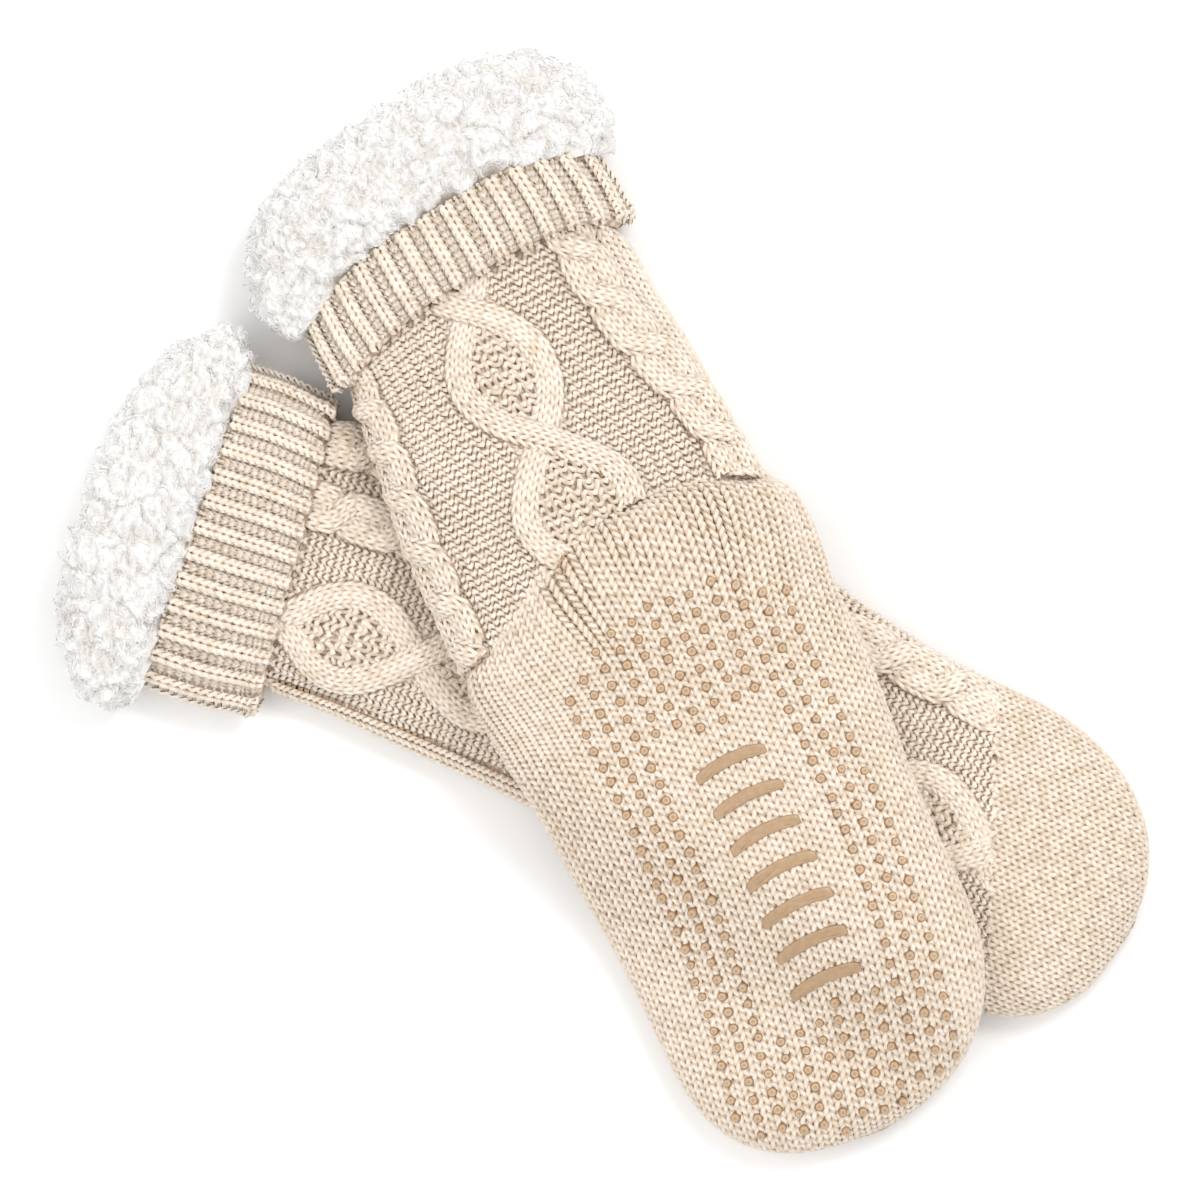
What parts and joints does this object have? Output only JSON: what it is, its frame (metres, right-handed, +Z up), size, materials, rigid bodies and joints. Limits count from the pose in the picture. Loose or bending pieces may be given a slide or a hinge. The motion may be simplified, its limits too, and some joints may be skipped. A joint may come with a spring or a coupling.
{
  "type": "pair of slipper socks",
  "caption": "Pair of cable-knit slipper socks with fleece collars and ribbed cuffs, lying flat and crossed, one of them sole up.",
  "frame": {"origin": "middle of the pair's outline, on the surface that it lies on", "axes": "+Z up, away from that surface; +X and +Y are the picture's right and up directions, so the lower sock's toe points towards +X and the upper sock's collar towards +Y"},
  "size_m": [0.3874, 0.3913, 0.0601],
  "materials": {
    "knit": "matt oatmeal cable knit",
    "rib": "matt oatmeal ribbed knit",
    "fleece": "white curly fleece"
  },
  "bodies": {
    "root": {"upper_sock_knit": "knit", "upper_sock_cuff": "rib", "upper_sock_fleece": "fleece", "lower_sock_knit": "knit", "lower_sock_cuff": "rib", "lower_sock_fleece": "fleece"}
  },
  "joints": []
}
